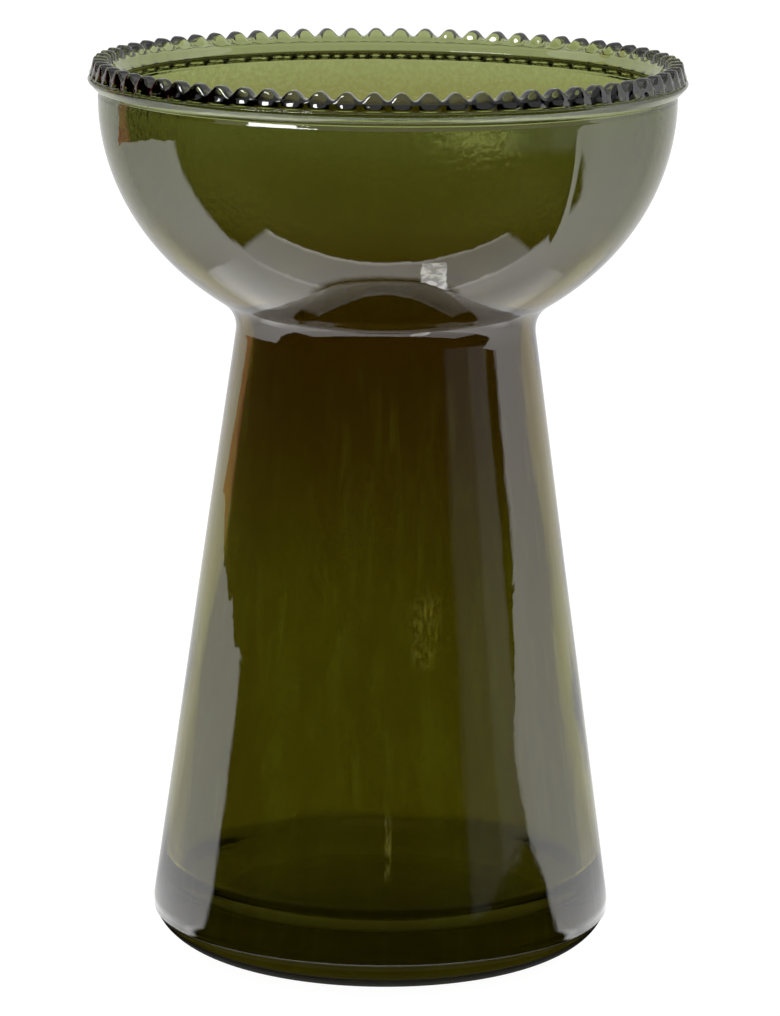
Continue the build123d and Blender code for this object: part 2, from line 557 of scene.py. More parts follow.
@dataclass
class Vase:
    """The whole vase: its sections, and the one skin that they draw together.

    Attributes:
        body_columns_per_bead: Columns of the plain skin for each bead of the rim.
        wave: How far the outside waves, in millimetres.
        inner_wave: How far the inside waves, in millimetres.
    """

    foot: Foot = field(default_factory=Foot)
    chamber: WaterChamber = field(default_factory=WaterChamber)
    waist: Waist = field(default_factory=Waist)
    bowl: BulbBowl = field(default_factory=BulbBowl)
    band: RimBand = field(default_factory=RimBand)
    beads: RimBeads = field(default_factory=RimBeads)
    seam: MouldSeam = field(default_factory=MouldSeam)
    body_columns_per_bead: int = 4
    wave: float = 0.05
    inner_wave: float = 0.16

    def wall(self, side: Side) -> WallSide:
        """Shape of one side of the wall below the rim."""
        low, bowl = self.foot.low(side), self.bowl.ellipse(side)
        return WallSide(low, self.chamber.taper_top(side), bowl, self.waist.radius(side))

    def side_path(self, side: Side) -> Path:
        """Profile of one side of the wall from the axis to the top of the bowl.

        Args:
            side: Side of the wall.

        Returns:
            The stretches of the foot, the chamber, the waist and the bowl end to end.
        """
        wall = self.wall(side)
        sections = (self.foot, self.chamber, self.waist, self.bowl)
        return joined(*(s.stretch(side, wall) for s in sections))

    def waved(self, path: Path, side: Side, azimuth: np.ndarray) -> np.ndarray:
        """Spread a profile over the columns, with the slow waves that hand-worked glass has.

        Args:
            path: Profile below the rim.
            side: Side of the wall; the inside waves more.
            azimuth: Angles of the columns.

        Returns:
            Radius and height at every row and column. The radius gains a sum of three sines of the
            azimuth and the height, which fades to nothing at the axis and below the rim.
        """
        amount = self.inner_wave if side is Side.INSIDE else self.wave
        radius, level = path[:, 0][:, None], path[:, 1][:, None]
        a, phase = azimuth[None], 1.3 * side.value
        wave = (
            np.sin(3 * a + level / 17 + phase) + 0.7 * np.sin(5 * a - level / 11 + 2 * phase)
            + 0.5 * np.sin(8 * a + level / 7 + 3 * phase)
        )
        fade = np.clip(radius / 25, 0, 1) ** 2 * np.clip((self.bowl.top - level) / 8, 0, 1)
        fade = fade * np.clip(level / 6, 0, 1)
        out = np.repeat(path[:, None], len(azimuth), axis=1)
        out[..., 0] += amount * fade * wave / 2.2
        return out

    def plain(self, path: Path, azimuth: np.ndarray) -> np.ndarray:
        """Spread a profile over the columns unchanged."""
        return np.repeat(path[:, None], len(azimuth), axis=1)

    def build(self) -> bpy.types.Object:
        """Build the skin as one closed mesh.

        Returns:
            The object, smooth shaded, with the attribute inside that tells the two sides apart.
        """
        coarse = round_angles(self.beads.count * self.body_columns_per_bead)
        fine = round_angles(self.beads.count * self.beads.columns)
        rim = self.beads.rows(fine)
        outer, turned = self.seam.draw(np.concatenate([
            self.waved(self.side_path(Side.OUTSIDE)[1:], Side.OUTSIDE, coarse),
            self.plain(self.band.moulding(self.bowl)[1:], coarse),
        ]), coarse)
        inner = np.concatenate([
            self.plain(self.band.lip(self.bowl, rim[-1, 0])[1:-1], coarse),
            self.waved(self.side_path(Side.INSIDE)[::-1][:-1], Side.INSIDE, coarse),
        ])
        skin = Skin()
        skin.pole(self.side_path(Side.OUTSIDE)[0], Side.OUTSIDE)
        skin.rings(outer, turned, Side.OUTSIDE)
        skin.rings(rim, fine, Side.OUTSIDE)
        skin.rings(inner, coarse, Side.INSIDE)
        skin.pole(self.side_path(Side.INSIDE)[0], Side.INSIDE)
        return skin.object("vase_glass")


class Skin:
    """Closed mesh grown ring by ring along a profile, outwards and up first, then in and down."""

    def __init__(self) -> None:
        """Start with no rings."""
        self.places: list[np.ndarray] = []
        self.sides: list[np.ndarray] = []
        self.faces: list[np.ndarray] = []
        self.last = np.zeros(0, int)
        self.used = 0

    def _take(self, count: int) -> np.ndarray:
        """Numbers of the next vertices."""
        self.used += count
        return np.arange(self.used - count, self.used)

    def pole(self, point: Path, side: Side) -> None:
        """Close the skin on the axis.

        Args:
            point: Radius and height of the pole.
            side: Side of the wall that it lies on.
        """
        centre = self._take(1)
        self.places.append(np.array([[0, 0, point[1]]]))
        self.sides.append(np.array([side.value]))
        if len(self.last):
            middle = np.repeat(centre, len(self.last))
            self.faces.append(np.stack([self.last, np.roll(self.last, -1), middle], -1))
        self.last = centre

    def rings(self, rows: np.ndarray, azimuth: np.ndarray, side: Side) -> None:
        """Carry the skin on over a grid of rows.

        Args:
            rows: Radius and height at every row and column.
            azimuth: Angles of the columns; their number is that of the ring before, a multiple of it
                or a part of it.
            side: Side of the wall that the rows lie on.
        """
        radius, level = rows[..., 0], rows[..., 1]
        place = np.stack([radius * np.cos(azimuth), radius * np.sin(azimuth), level], -1)
        ids = self._take(radius.size).reshape(radius.shape)
        self.places.append(place.reshape(-1, 3))
        self.sides.append(np.full(radius.size, side.value))
        if len(self.last):
            self.faces.append(self._bridge(self.last, ids[0]))
        low, high = ids[:-1], ids[1:]
        quads = np.stack([low, np.roll(low, -1, 1), np.roll(high, -1, 1), high], -1)
        self.faces.append(quads.reshape(-1, 4))
        self.last = ids[-1]

    def _bridge(self, low: np.ndarray, high: np.ndarray) -> np.ndarray:
        """Faces between two rings; one may be a pole or have several columns for each of the other's.

        Args:
            low: Vertices of the ring before.
            high: Vertices of the ring after.

        Returns:
            The corners of the faces.
        """
        if len(low) == 1:
            return np.stack([np.repeat(low, len(high)), np.roll(high, -1), high], -1)
        wide, thin = (low, high) if len(low) < len(high) else (high, low)
        each = len(thin) // len(wide)
        first = np.arange(len(wide)) * each
        run = thin[(first[:, None] + np.arange(each + 1)) % len(thin)]
        if wide is low:
            return np.concatenate([wide[:, None], np.roll(wide, -1)[:, None], run[:, ::-1]], 1)
        return np.concatenate([run, np.roll(wide, -1)[:, None], wide[:, None]], 1)

    def object(self, name: str) -> bpy.types.Object:
        """Write the rings into a mesh in metres.

        Args:
            name: Name of the object and its mesh.

        Returns:
            The object, linked to the scene.
        """
        places = np.concatenate(self.places) * MM
        corners = np.concatenate([f.ravel() for f in self.faces])
        sizes = np.concatenate([np.full(len(f), f.shape[1]) for f in self.faces])
        mesh = bpy.data.meshes.new(name)
        mesh.vertices.add(len(places))
        mesh.vertices.foreach_set("co", places.ravel().astype(np.float32))
        mesh.loops.add(len(corners))
        mesh.loops.foreach_set("vertex_index", corners.astype(np.int32))
        mesh.polygons.add(len(sizes))
        mesh.polygons.foreach_set("loop_start", (np.cumsum(sizes) - sizes).astype(np.int32))
        mesh.update(calc_edges=True)
        mesh.validate()
        mesh.shade_smooth()
        inside = mesh.attributes.new("inside", "FLOAT", "POINT")
        inside.data.foreach_set("value", np.concatenate(self.sides).astype(np.float32))
        obj = bpy.data.objects.new(name, mesh)
        bpy.context.scene.collection.objects.link(obj)
        return obj


@dataclass(frozen=True)
class Wiring:
    """Short ways to place and link shader nodes in one tree."""

    tree: bpy.types.NodeTree

    def node(self, kind: str, operation: str | None = None, **values: object) -> bpy.types.Node:
        """Add a node.

        Args:
            kind: Blender's name of the node without its first words, such as Math.
            operation: Operation of a math node.
            values: What each input takes, by name or as in0, in1 and so on: a socket to link or a value.

        Returns:
            The node.
        """
        made = self.tree.nodes.new("ShaderNode" + kind)
        if operation:
            made.operation = operation
        for key, value in values.items():
            name = key.replace("_", " ")
            numbered = key[:2] == "in" and key[2:].isdigit()
            self.feed(made.inputs[int(key[2:])] if numbered else made.inputs[name], value)
        return made

    def feed(self, socket: Socket, value: object) -> None:
        """Feed an input.

        Args:
            socket: The input.
            value: A socket to link to it, or a value to set it to.
        """
        if isinstance(value, Socket):
            self.tree.links.new(value, socket)
        else:
            socket.default_value = value

    def math(self, operation: str, *values: object) -> Socket:
        """Result of a math node on sockets or numbers."""
        return self.node("Math", operation, **{f"in{i}": v for i, v in enumerate(values)}).outputs[0]

    def times(self, *values: object) -> Socket:
        """Product of sockets or numbers."""
        return reduce(lambda first, second: self.math("MULTIPLY", first, second), values)

    def most(self, *values: object) -> Socket:
        """Largest of sockets or numbers."""
        return reduce(lambda first, second: self.math("MAXIMUM", first, second), values)

    def ramp(self, value: object, low: float, high: float, to_low: float, to_high: float) -> bpy.types.Node:
        """Node that carries a value evenly from one range to another and holds it at its ends."""
        return self.node("MapRange", in0=value, in1=low, in2=high, in3=to_low, in4=to_high)

    def span(self, value: object, band: Band, to_low: float, to_high: float) -> Socket:
        """Carry a value smoothly from one number to another over a band.

        Args:
            value: The value.
            band: Where the change starts and ends.
            to_low: Result up to its start.
            to_high: Result from its end on.

        Returns:
            The result's socket.
        """
        made = self.ramp(value, *band, to_low, to_high)
        made.interpolation_type = "SMOOTHSTEP"
        return made.outputs[0]

    def rise(self, value: object, band: Band) -> Socket:
        """Mask that rises from nothing to full over a band."""
        return self.span(value, band, 0.0, 1.0)

    def fall(self, value: object, band: Band) -> Socket:
        """Mask that falls from full to nothing over a band."""
        return self.span(value, band, 1.0, 0.0)

    def within(self, value: object, rise: Band, fall: Band) -> Socket:
        """Mask that rises over one band and falls again over a later one."""
        return self.times(self.rise(value, rise), self.fall(value, fall))

    def noise(self, place: Socket, scale: float, detail: float, roughness: float = 0.5) -> Socket:
        """Cloudy noise over a place."""
        return self.node("TexNoise", Vector=place, Scale=scale, Detail=detail, Roughness=roughness).outputs[0]

    def length(self, place: Socket) -> Socket:
        """Length of a vector."""
        return self.node("VectorMath", "LENGTH", in0=place).outputs["Value"]

    def level_ground(self, place: Socket) -> Socket:
        """A place or direction without its height."""
        return self.node("VectorMath", "MULTIPLY", in0=place, in1=(1.0, 1.0, 0.0)).outputs[0]

    def shortened(self, place: Socket, share: float) -> Socket:
        """A place drawn together along the vase, so that a pattern on it is drawn out."""
        return self.node("Mapping", Vector=place, Scale=(1.0, 1.0, share)).outputs[0]

    def parts(self, place: Socket) -> list[Socket]:
        """The three numbers of a place or direction."""
        return list(self.node("SeparateXYZ", in0=place).outputs)

    def mix(self, factor: Socket, first: object, second: object) -> Socket:
        """Number between two others."""
        return self.node("Mix", in0=factor, in2=first, in3=second).outputs[0]

    def blend(self, factor: Socket, first: object, second: object) -> Socket:
        """Mix two colours.

        Args:
            factor: Share of the second.
            first: Colour without any of the second.
            second: Colour mixed in.

        Returns:
            The colour's socket.
        """
        made = self.tree.nodes.new("ShaderNodeMix")
        made.data_type = "RGBA"
        for number, value in ((0, factor), (6, first), (7, second)):
            self.feed(made.inputs[number], value)
        return made.outputs[2]


def new_material(name: str) -> tuple[bpy.types.Material, Wiring]:
    """Make an empty material.

    Args:
        name: Name of the material.

    Returns:
        The material and the wiring of its tree.
    """
    made = bpy.data.materials.new(name)
    made.use_nodes = True
    made.node_tree.nodes.clear()
    return made, Wiring(made.node_tree)


@dataclass(frozen=True)
class Mark:
    """Mark of wear on the front of the chamber, in millimetres.

    Attributes:
        across: Distance of its middle to the right of the axis.
        level: Height of its middle.
        reach: Half its width.
        rise: Half its height.
        strength: How much of the glass's colour it takes away.
    """

    across: float
    level: float
    reach: float
    rise: float
    strength: float


@dataclass(frozen=True)
class OliveGlass:
    """Thick olive glass: clear and glossy, browner at the waist, with drawn streaks and a wavy skin.

    A band is the two heights, or the two distances, in metres between which one thing gives way to the next.

    Attributes:
        rim: Tint of one wall at the rim.
        green: Tint of one wall in the upper bowl.
        brown: Tint of one wall low in the bowl.
        dark: Tint of one wall at the waist.
        olive: Tint of one wall low in the water chamber.
        lip_painted_shade: Painted shade along the edge of the lip, a dark tint standing in for the dark line
            where the light runs round inside the glass.
        scuffed: Tint of the scuffs.
        depth_colour: Colour that the light keeps inside the glass.
        depth: How fast it gets there, per metre.
        slope: How much of the lip's painted shade the slope above it takes.
        streaks: How far the drawn streaks go to the dark tint.
        mottle: How much the pits darken the inside of the bowl.
        lines: How much paler the fine drawn lines are.
        pit: Height of the pitting inside the bowl, in millimetres.
        ripple: Height of the drawn ripples, in millimetres.
        dimple: Height of the short waves that fray the edges of what the glass mirrors, in millimetres.
        gloss: Roughness of the clean glass.
        wear: Roughness that standing and sliding adds on the underside.
        marks: The scuffs on the front of the chamber.
        front: Band between the front of the chamber and the rest.
        chamber_band: Band in which the chamber turns from olive to dark.
        waist_band: Band in which the dark waist turns brown.
        bowl_band: Band in which the bowl turns green.
        rim_band: Band in which the bowl turns to the rim's tint.
        lip_line: Band in which the lip's painted dark line starts.
        lip_top: Band in which it ends at the slope.
        slope_edge: Distance from the axis at which the slope ends.
        mottle_start: Band in which the dark of the pits starts above the waist.
        mottle_end: Band in which it ends below the rim.
        pits_start: Band in which the relief of the pits starts.
        pits_end: Band in which it ends.
        lines_end: Band in which the drawn lines end below the waist.
        sole: Band in which the worn underside ends above the ring that it stands on.
        sole_edge: Distance at which it ends at the side.
    """

    rim: Colour = (0.31, 0.36, 0.155, 1.0)
    green: Colour = (0.25, 0.26, 0.085, 1.0)
    brown: Colour = (0.20, 0.178, 0.027, 1.0)
    dark: Colour = (0.155, 0.11, 0.022, 1.0)
    olive: Colour = (0.236, 0.230, 0.036, 1.0)
    lip_painted_shade: Colour = (0.02, 0.02, 0.004, 1.0)
    scuffed: Colour = (0.9, 0.9, 0.85, 1.0)
    depth_colour: Colour = (0.66, 0.64, 0.12, 1.0)
    depth: float = 75.0
    slope: float = 0.3
    streaks: float = 0.35
    mottle: float = 0.3
    lines: float = 0.36
    pit: float = 0.2
    ripple: float = 0.07
    dimple: float = 0.06
    gloss: float = 0.02
    wear: float = 0.45
    marks: tuple[Mark, Mark] = (Mark(8.4, 72.0, 3.2, 8.5, 0.36), Mark(1.4, 30.0, 0.9, 7.5, 0.8))
    front: Band = (-0.026, -0.025)
    chamber_band: Band = (0.060, 0.122)
    waist_band: Band = (0.130, 0.142)
    bowl_band: Band = (0.142, 0.158)
    rim_band: Band = (0.1638, 0.1755)
    lip_line: Band = (0.1748, 0.1751)
    lip_top: Band = (0.1756, 0.1759)
    slope_edge: Band = (0.0549, 0.0551)
    mottle_start: Band = (0.145, 0.16)
    mottle_end: Band = (0.173, 0.1745)
    pits_start: Band = (0.14, 0.16)
    pits_end: Band = (0.1725, 0.174)
    lines_end: Band = (0.118, 0.124)
    sole: Band = (0.002, 0.003)
    sole_edge: Band = (0.031, 0.033)

    def inside(self, wire: Wiring) -> Socket:
        """Mask of the inner side of the wall, which the mesh keeps as an attribute.

        Args:
            wire: The material's tree.

        Returns:
            The mask's socket.
        """
        made = wire.node("Attribute")
        made.attribute_name = "inside"
        return made.outputs["Fac"]

    def tint(self, wire: Wiring, level: Socket, streak: Socket) -> Socket:
        """Tint of the wall by height, with the streaks.

        Args:
            wire: The material's tree.
            level: Height of the shaded point.
            streak: Mask of the drawn streaks.

        Returns:
            The colour's socket.
        """
        chamber = wire.blend(wire.rise(level, self.chamber_band), self.olive, self.dark)
        streaked = wire.blend(wire.times(streak, self.streaks), chamber, self.dark)
        bowl = wire.blend(wire.rise(level, self.waist_band), streaked, self.brown)
        upper = wire.blend(wire.rise(level, self.bowl_band), bowl, self.green)
        return wire.blend(wire.rise(level, self.rim_band), upper, self.rim)

    def detailed(self, wire: Wiring, colour: Socket, place: Socket, drawn: Socket, level: Socket) -> Socket:
        """Colour with the lip's painted dark line, the pits inside the bowl, and the chamber's drawn lines
        and marks.

        Args:
            wire: The material's tree.
            colour: Tint of the wall.
            place: Shaded point in the piece's own coordinates.
            drawn: The same point, shortened along the vase.
            level: Its height.

        Returns:
            The colour's socket, darker in the pits, with painted shade at the lip, paler on the lines and
            marks.
        """
        radius = wire.length(wire.level_ground(place))
        # Painted shade: a dark line along the lip's edge, partly carried onto the slope above, stands in for
        # the dark line that light running round inside the glass makes.
        lip = wire.times(wire.rise(level, self.lip_line), wire.fall(radius, self.slope_edge))
        lip = wire.times(lip, wire.span(level, self.lip_top, 1.0, self.slope))
        edged = wire.blend(lip, colour, self.lip_painted_shade)
        spots = wire.span(wire.noise(place, 1100.0, 2.0), (0.35, 0.65), 0.0, self.mottle)
        bowl = wire.within(level, self.mottle_start, self.mottle_end)
        pitted = wire.blend(wire.times(spots, bowl, self.inside(wire)), edged, self.dark)
        lines = wire.span(wire.noise(drawn, 420.0, 1.0), (0.58, 0.70), 0.0, self.lines)
        lined = wire.blend(wire.times(lines, wire.fall(level, self.lines_end)), pitted, self.rim)
        return wire.blend(self.scuffs(wire, place), lined, self.scuffed)

    def scuffs(self, wire: Wiring, place: Socket) -> Socket:
        """Mask of the marks of wear in front: a patch of scuffs and one short upright smear.

        Args:
            wire: The material's tree.
            place: Shaded point in the piece's own coordinates.

        Returns:
            The mask's socket, broken into flecks.
        """
        across, along, level = wire.parts(place)
        masks = []
        for mark in self.marks:
            aside = wire.math("ABSOLUTE", wire.math("SUBTRACT", across, mark.across * MM))
            above = wire.math("ABSOLUTE", wire.math("SUBTRACT", level, mark.level * MM))
            wide = wire.span(aside, (mark.reach * MM / 2, mark.reach * MM), mark.strength, 0.0)
            masks.append(wire.times(wide, wire.fall(above, (mark.rise * MM / 2, mark.rise * MM))))
        flecks = wire.rise(wire.noise(wire.shortened(place, 0.3), 1500.0, 3.0), (0.46, 0.60))
        return wire.times(wire.math("ADD", *masks), wire.fall(along, self.front), flecks)

    def relief(self, wire: Wiring, place: Socket, level: Socket, drawn: Socket) -> Socket:
        """Normal of the surface with its pits, ripples and dimples.

        Args:
            wire: The material's tree.
            place: Shaded point in the piece's own coordinates.
            level: Its height.
            drawn: The same point, shortened along the vase.

        Returns:
            The normal's socket.
        """
        in_bowl = wire.times(wire.span(level, self.pits_start, 0.0, self.pit), self.inside(wire))
        in_bowl = wire.times(in_bowl, wire.fall(level, self.pits_end))
        pitted = wire.times(wire.noise(place, 900.0, 2.0), in_bowl)
        ripples = wire.times(wire.noise(drawn, 60.0, 2.0), self.ripple)
        dimples = wire.times(wire.noise(wire.shortened(place, 0.4), 150.0, 3.0), self.dimple)
        height = wire.math("ADD", pitted, wire.math("ADD", ripples, dimples))
        return wire.node("Bump", Strength=1.0, Distance=MM, Height=height).outputs[0]

    def material(self) -> bpy.types.Material:
        """Build the material.

        Returns:
            The glass, whose colour and relief read the piece's own coordinates.
        """
        made, wire = new_material("olive_glass")
        place = wire.node("TexCoord").outputs["Object"]
        level = wire.parts(place)[2]
        drawn = wire.shortened(place, 0.06)
        colour = self.tint(wire, level, wire.rise(wire.noise(drawn, 95.0, 3.0), (0.38, 0.62)))
        colour = self.detailed(wire, colour, place, drawn, level)
        normal = self.relief(wire, place, level, drawn)
        worn = wire.times(wire.fall(level, self.sole), wire.fall(wire.length(place), self.sole_edge))
        rough = wire.math("MULTIPLY_ADD", worn, self.wear, self.gloss)
        glass = wire.node("BsdfPrincipled", Base_Color=colour, Roughness=rough, IOR=1.5, Normal=normal)
        glass.inputs["Transmission Weight"].default_value = 1.0
        depth = wire.node("VolumeAbsorption", Color=self.depth_colour, Density=self.depth)
        out = wire.node("OutputMaterial", Surface=glass.outputs[0])
        wire.tree.links.new(depth.outputs[0], out.inputs["Volume"])
        return made


@dataclass(frozen=True)
class Lamp:
    """Small studio lamp that the glass shows as a highlight.

    Attributes:
        name: Name of the lamp.
        azimuth: Bearing from the vase in degrees, 0 in front and 90 to the right.
        elevation: Height above the horizon in degrees.
        width: Width in metres.
        height: Height in metres.
        radiance: Brightness of its face.
        distance: How far it stands from the vase, in metres.
        aim: Point of the vase that it faces, in metres.
    """

    name: str = "front_lamp"
    azimuth: float = -44.5
    elevation: float = 30.0
    width: float = 0.56
    height: float = 0.16
    radiance: float = 27.0
    distance: float = 1.2
    aim: tuple[float, float, float] = (0.0, 0.0, 0.16)

    def build(self) -> bpy.types.Object:
        """Hang the lamp, seen only where the outside of the glass mirrors it.

        Returns:
            The lamp's object.
        """
        data = bpy.data.lights.new(self.name, "AREA")
        data.shape, data.size, data.size_y = "RECTANGLE", self.width, self.height
        data.energy = self.radiance * math.pi * self.width * self.height
        obj = bpy.data.objects.new(self.name, data)
        turn = Matrix.Rotation(math.radians(self.azimuth), 4, "Z") @ Matrix.Rotation(
            math.radians(90 - self.elevation), 4, "X"
        )
        obj.matrix_world = Matrix.Translation(self.aim) @ turn @ Matrix.Translation((0, 0, self.distance))
        obj.visible_diffuse = obj.visible_transmission = False
        bpy.context.scene.collection.objects.link(obj)
        return obj


@dataclass(frozen=True)
class Flag:
    """Dark cloth that hangs to the left of the vase, seen only where the glass mirrors it.

    Attributes:
        start: Bearing in degrees at which it starts, 0 in front and -90 to the left.
        end: Bearing at which it ends.
        distance: Distance from the vase, in metres.
        low: Height of its lower edge.
        high: Height of its upper edge.
        columns: Points along each edge.
        drawn_in: How far the corner of its lower edge is turned on, in radians.
        hem: Band, along the depth of the studio, in which its reddish hem starts.
        cloth: Colour of the cloth.
        hem_colour: Colour of the hem.
    """

    start: float = -72.0
    end: float = -127.0
    distance: float = 0.5
    low: float = 0.048
    high: float = 0.5
    columns: int = 17
    drawn_in: float = 0.12
    hem: Band = (0.235, 0.265)
    cloth: Colour = (0.02, 0.01, 0.005, 1.0)
    hem_colour: Colour = (0.50, 0.12, 0.12, 1.0)

    def build(self) -> bpy.types.Object:
        """Hang the cloth, an upright sheet bent round the vase at a fixed distance.

        Returns:
            The cloth. Its lower edge goes up and down as the sum of two sines of the point's number.
        """
        heights = np.array([self.low, 2 * self.low, self.high])
        share, level = np.meshgrid(np.linspace(0, 1, self.columns), heights)
        turn = np.radians(self.start + (self.end - self.start) * share)
        turn[0, -3:] -= self.drawn_in
        number = np.arange(self.columns)
        level[0] += 0.002 * np.sin(number * 2.3) + 0.0015 * np.sin(number * 5.1)
        ring = np.stack([np.sin(turn) * self.distance, -np.cos(turn) * self.distance, level], -1)
        low = (np.arange(2)[:, None] * self.columns + number[:-1]).ravel()
        faces = np.stack([low, low + 1, low + self.columns + 1, low + self.columns], -1)
        mesh = bpy.data.meshes.new("flag")
        mesh.from_pydata(ring.reshape(-1, 3), [], faces.tolist())
        obj = bpy.data.objects.new("flag", mesh)
        bpy.context.scene.collection.objects.link(obj)
        obj.visible_camera = obj.visible_transmission = obj.visible_diffuse = obj.visible_shadow = False
        made, wire = new_material("flag_cloth")
        along = wire.parts(wire.node("TexCoord").outputs["Object"])[1]
        colour = wire.blend(wire.rise(along, self.hem), self.cloth, self.hem_colour)
        glow = wire.node("Emission", Color=colour, Strength=1.0)
        wire.node("OutputMaterial", Surface=glow.outputs[0])
        mesh.materials.append(made)
        return obj


@dataclass(frozen=True)
class Caustic:
    """Blotched spot of light that the vase gathers on the table in front, as its bowl mirrors it.

    Attributes:
        slant: How far the spot leans to the side for each metre away.
        skew: How far its ends lean back for each metre to the side.
        left: Band in which it starts at the left.
        right: Band in which it ends at the right.
        near: Band in which it starts in front.
        far: Band in which it ends towards the vase.
        dim: Brightness of its dark blotches.
        bright: Brightness of its light blotches.
        start: Band of lengths of the mirrored ray in which it starts to show.
        end: Band in which it stops, so that only the bowl mirrors it.
    """

    slant: float = 0.13
    skew: float = -0.4
    left: Band = (0.021, 0.023)
    right: Band = (0.044, 0.046)
    near: Band = (-0.090, -0.086)
    far: Band = (-0.035, -0.031)
    dim: float = 4.0
    bright: float = 8.0
    start: Band = (0.132, 0.136)
    end: Band = (0.162, 0.166)

    def glow(self, wire: Wiring, place: Socket, run: Socket) -> Socket:
        """Brightness of the spot.

        Args:
            wire: The floor's tree.
            place: Place on the floor.
            run: Length of the ray that sees it.

        Returns:
            The brightness's socket.
        """
        x, y, _ = wire.parts(place)
        across = wire.math("MULTIPLY_ADD", y, self.slant, x)
        along = wire.math("MULTIPLY_ADD", x, self.skew, y)
        spot = wire.times(wire.within(across, self.left, self.right), wire.within(along, self.near, self.far))
        blotch = wire.span(wire.noise(place, 110.0, 2.0), (0.4, 0.6), self.dim, self.bright)
        return wire.times(spot, blotch, wire.within(run, self.start, self.end))


@dataclass(frozen=True)
class Studio:
    """Pale floor, white surroundings and soft light, as the glass mirrors them.

    The table is bright behind the vase and a grey strip of it reaches in front. Past that the room is dark
    in front, with a soft ceiling. Distances are in metres, and a share that points back is the part of a
    level direction of length one that points away from the camera.

    Attributes:
        side_glow: Brightness that the glass mirrors straight to the sides.
        side_end: Share that points back where that brightness ends.
        back_glow: Brightness that it mirrors from there on.
        fray: How unevenly the edges of the bright parts run.
        sheen: Brightness of each of two faint panels in front to the right.
        panels: Shares that point back at which the two panels start.
        panels_end: Shares over which both end.
        walls: Shares over which the bright walls start.
        backdrop_side: Share that points back where the white backdrop starts.
        backdrop_run: How much further back it is fully white.
        beside: Brightness beside the backdrop, as seen through the glass.
        white: Brightness of the floor as seen, which its shadow comes off.
        ceiling: Brightness overhead.
        ceiling_start: Upward shares over which the ceiling starts.
        top_light: Upward shares over which the glass shows white overhead.
        table_edge: Front edge of the bright table, from the axis.
        table_turn: How far that edge falls back for each metre to the side.
        strip_edge: Front edge of the grey strip.
        strip_side: Half the width of the grey strip.
        strip_glow: Brightness of the grey strip.
        strip_soft: Width over which its front edge comes up.
        strip_line: Width of the light line along that edge.
        strip_line_glow: How much brighter the line is.
        strip_steep: Facings over which a surface stops mirroring the strip.
        strip_runs: Lengths of the mirrored ray over which it loses what the heel shows more.
        strip_near: How much brighter the heel mirrors it.
        strip_fade: Band in which it fades to the right.
        strip_right: Share of its brightness that is left there.
        foot_shadow: Radius within which the vase's own shadow darkens the table.
        under_foot: Brightness of the table under the front of the foot as seen through the glass.
        behind_foot: Brightness of the table under the back of the foot as seen through the glass.
        foot_edge: Band in which the table gets clear of the foot.
        contact: Brightness that the heel mirrors from the table right beside it.
        contact_end: Band in which that ends.
        fill: Plain light of the surroundings on the floor.
        floor_gap: Distance of the floor below the foot, in millimetres.
        floor_half: Half the width of the floor.
        floor_shine: Share of the floor's look that is its own white.
    """

    side_glow: float = 2.3
    side_end: float = 0.64
    back_glow: float = 0.78
    fray: float = 0.08
    sheen: float = 0.24
    panels: tuple[Band, Band] = ((-0.72, -0.66), (-0.45, -0.38))
    panels_end: Band = (-0.17, -0.12)
    walls: Band = (-0.01, 0.05)
    backdrop_side: float = 0.62
    backdrop_run: float = 0.3
    beside: float = 0.4
    white: float = 1.14
    ceiling: float = 0.8
    ceiling_start: Band = (0.2, 0.34)
    top_light: Band = (0.35, 0.75)
    table_edge: float = -0.022
    table_turn: float = 0.02
    strip_edge: float = -0.080
    strip_side: float = 0.13
    strip_glow: float = 2.2
    strip_soft: float = 0.003
    strip_line: float = 0.006
    strip_line_glow: float = 1.8
    strip_steep: Band = (0.28, 0.5)
    strip_runs: Band = (0.04, 0.06)
    strip_near: float = 1.4
    strip_fade: Band = (0.01, 0.05)
    strip_right: float = 0.72
    foot_shadow: float = 0.052
    under_foot: float = 0.15
    behind_foot: float = 0.55
    foot_edge: Band = (0.048, 0.072)
    contact: float = 0.06
    contact_end: Band = (0.040, 0.046)
    fill: float = 0.9
    floor_gap: float = 0.05
    floor_half: float = 4.0
    floor_shine: float = 0.85

    def glow_group(self) -> bpy.types.NodeTree:
        """Group that tells how bright the surroundings are towards a place or direction.

        Returns:
            The group. The glow falls from the sides to the back in step with the share of the vector
            that points back.
        """
        tree = bpy.data.node_groups.new("studio_glow", "ShaderNodeTree")
        tree.interface.new_socket("Place", in_out="INPUT", socket_type="NodeSocketVector")
        for name in ("Glow", "Back", "Sheen"):
            tree.interface.new_socket(name, in_out="OUTPUT", socket_type="NodeSocketFloat")
        wire = Wiring(tree)
        start, end = tree.nodes.new("NodeGroupInput"), tree.nodes.new("NodeGroupOutput")
        unit = wire.node("VectorMath", "NORMALIZE", in0=wire.level_ground(start.outputs[0]))
        fray = wire.noise(start.outputs[0], 14.0, 3.0, 0.7)
        right, straight_back, _ = wire.parts(unit.outputs[0])
        back = wire.math("ADD", straight_back, wire.math("MULTIPLY_ADD", fray, self.fray, -self.fray / 2))
        glow = wire.ramp(back, 0.0, self.side_end, self.side_glow, self.back_glow).outputs[0]
        near, far = (wire.span(back, panel, 0.0, self.sheen) for panel in self.panels)
        sheen = wire.times(wire.rise(right, (0.0, 0.2)), wire.fall(back, self.panels_end))
        sheen = wire.times(wire.math("ADD", near, far), sheen)
        for socket, result in zip(end.inputs, (glow, back, sheen)):
            tree.links.new(result, socket)
        return tree

    def glow_at(self, wire: Wiring, glow: bpy.types.NodeTree, place: Socket) -> list[Socket]:
        """Place the group in a tree, fed with a place or direction.

        Args:
            wire: The tree.
            glow: The group with the studio's brightness.
            place: The place or direction.

        Returns:
            The glow, the share that points back, and the sheen.
        """
        group = wire.node("Group")
        group.node_tree = glow
        wire.feed(group.inputs[0], place)
        return list(group.outputs)

